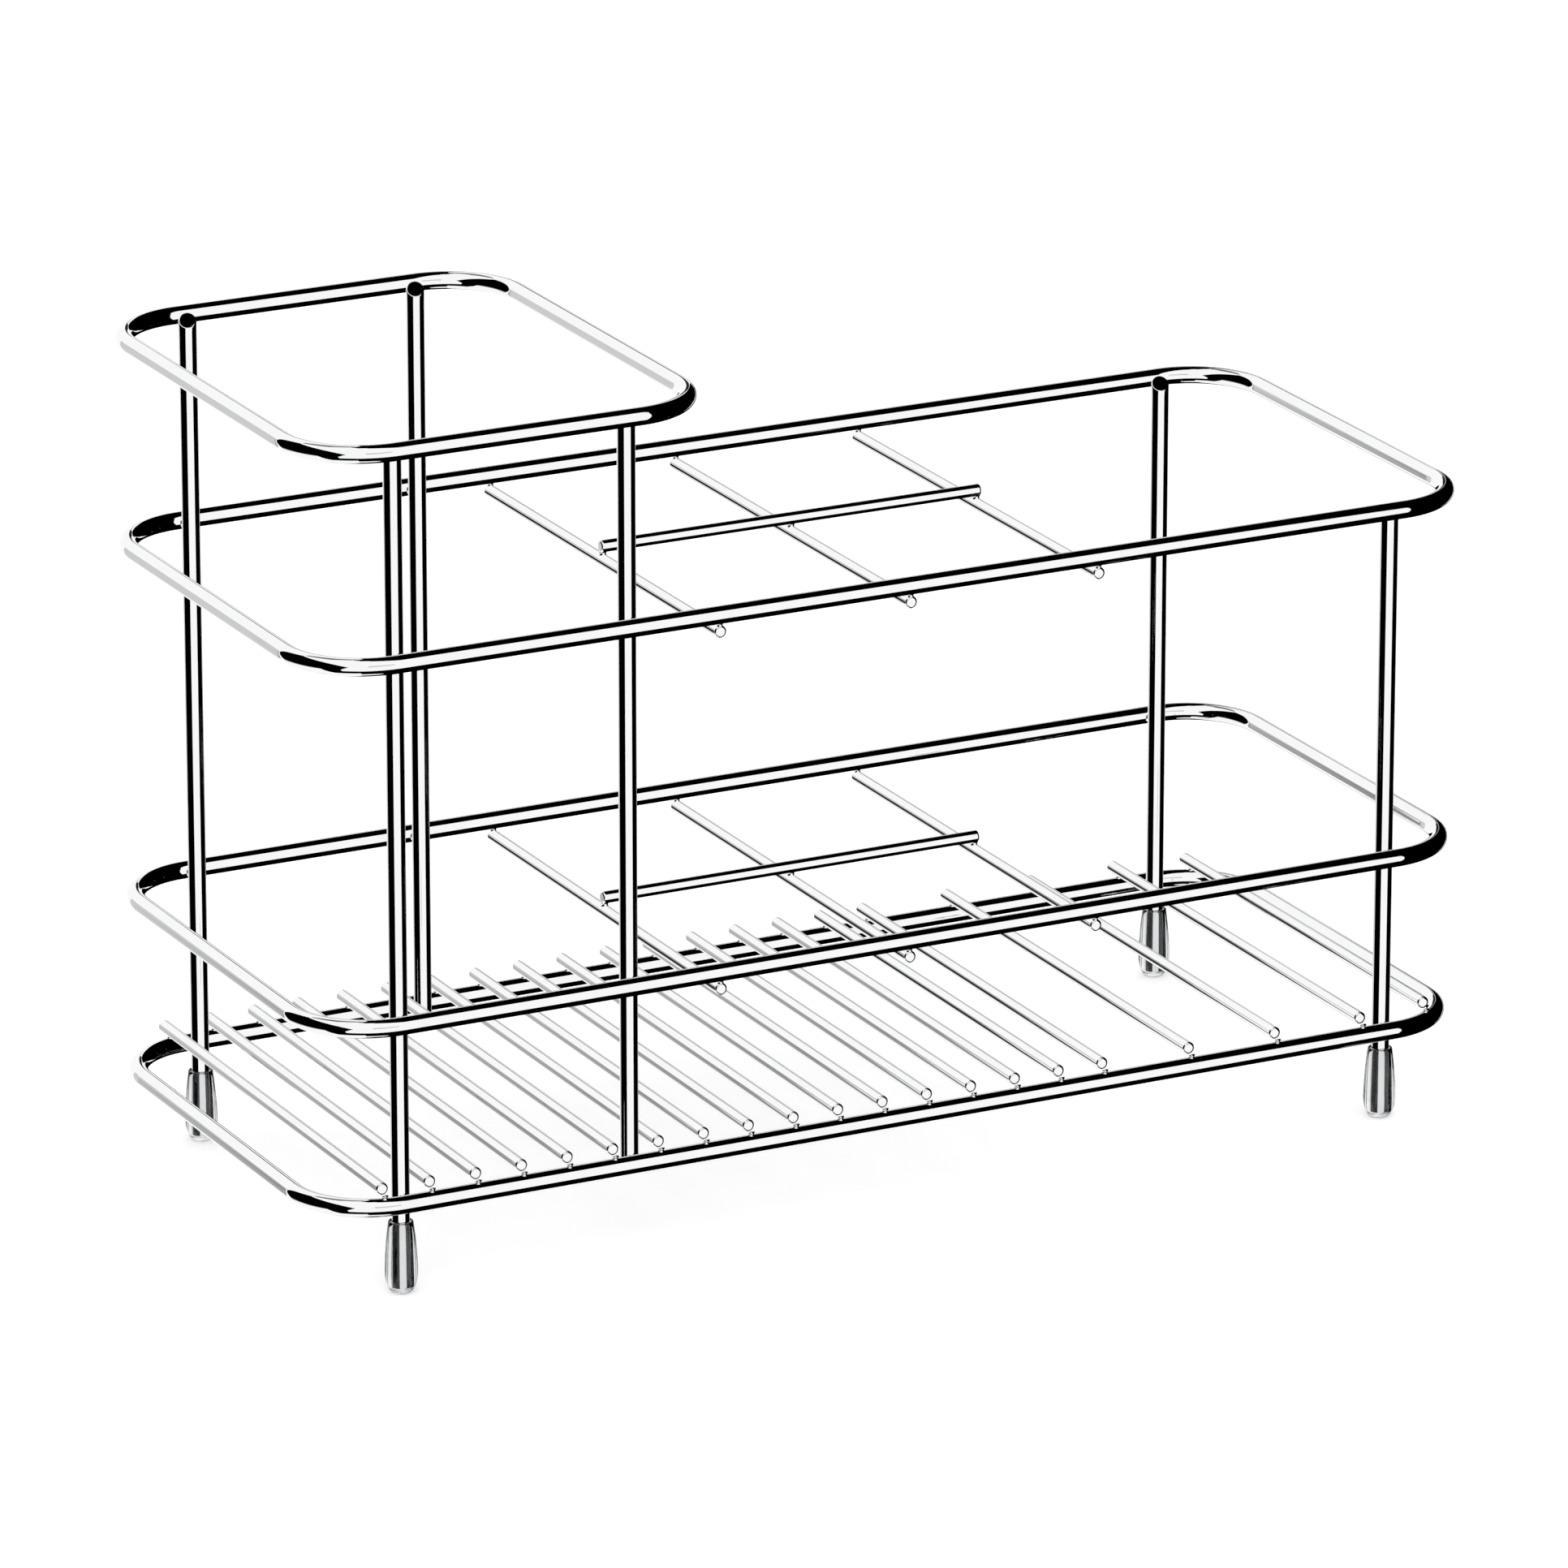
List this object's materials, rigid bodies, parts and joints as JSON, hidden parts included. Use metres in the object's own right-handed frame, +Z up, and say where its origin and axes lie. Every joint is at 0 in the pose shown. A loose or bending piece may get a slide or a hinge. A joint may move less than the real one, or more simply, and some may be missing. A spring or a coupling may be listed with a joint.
{
  "type": "toothbrush holder",
  "caption": "Welded wire countertop toothbrush holder with a tall toothpaste bay, divided brush slots, an open bay, a wire floor and capped legs.",
  "frame": {"origin": "middle of the overall box in plan, on the surface that the rack stands on", "axes": "+X along the length, away from the tall toothpaste bay; +Y to the back; +Z up"},
  "size_m": [0.2272, 0.0958, 0.1539],
  "materials": {
    "chrome_wire": "bright nickel-chrome plating on steel wire, polished",
    "clear_vinyl": "soft clear vinyl with a light grey tint, glossy"
  },
  "bodies": {
    "root": {"base_ring": "chrome_wire", "middle_ring": "chrome_wire", "upper_ring": "chrome_wire", "tall_ring": "chrome_wire", "post_front_left": "chrome_wire", "post_back_left": "chrome_wire", "post_front_middle": "chrome_wire", "post_back_middle": "chrome_wire", "post_front_right": "chrome_wire", "post_back_right": "chrome_wire", "floor_wire_01": "chrome_wire", "floor_wire_02": "chrome_wire", "floor_wire_03": "chrome_wire", "floor_wire_04": "chrome_wire", "floor_wire_05": "chrome_wire", "floor_wire_06": "chrome_wire", "floor_wire_07": "chrome_wire", "floor_wire_08": "chrome_wire", "floor_wire_09": "chrome_wire", "floor_wire_10": "chrome_wire", "floor_wire_11": "chrome_wire", "floor_wire_12": "chrome_wire", "floor_wire_13": "chrome_wire", "floor_wire_14": "chrome_wire", "floor_wire_15": "chrome_wire", "floor_wire_16": "chrome_wire", "floor_wire_17": "chrome_wire", "floor_wire_18": "chrome_wire", "floor_wire_19": "chrome_wire", "floor_wire_20": "chrome_wire", "floor_wire_21": "chrome_wire", "middle_cross_wire_1": "chrome_wire", "middle_cross_wire_2": "chrome_wire", "middle_cross_wire_3": "chrome_wire", "middle_long_divider": "chrome_wire", "upper_cross_wire_1": "chrome_wire", "upper_cross_wire_2": "chrome_wire", "upper_cross_wire_3": "chrome_wire", "upper_long_divider": "chrome_wire", "foot_cap_front_left": "clear_vinyl", "foot_cap_back_left": "clear_vinyl", "foot_cap_front_right": "clear_vinyl", "foot_cap_back_right": "clear_vinyl"}
  },
  "joints": []
}
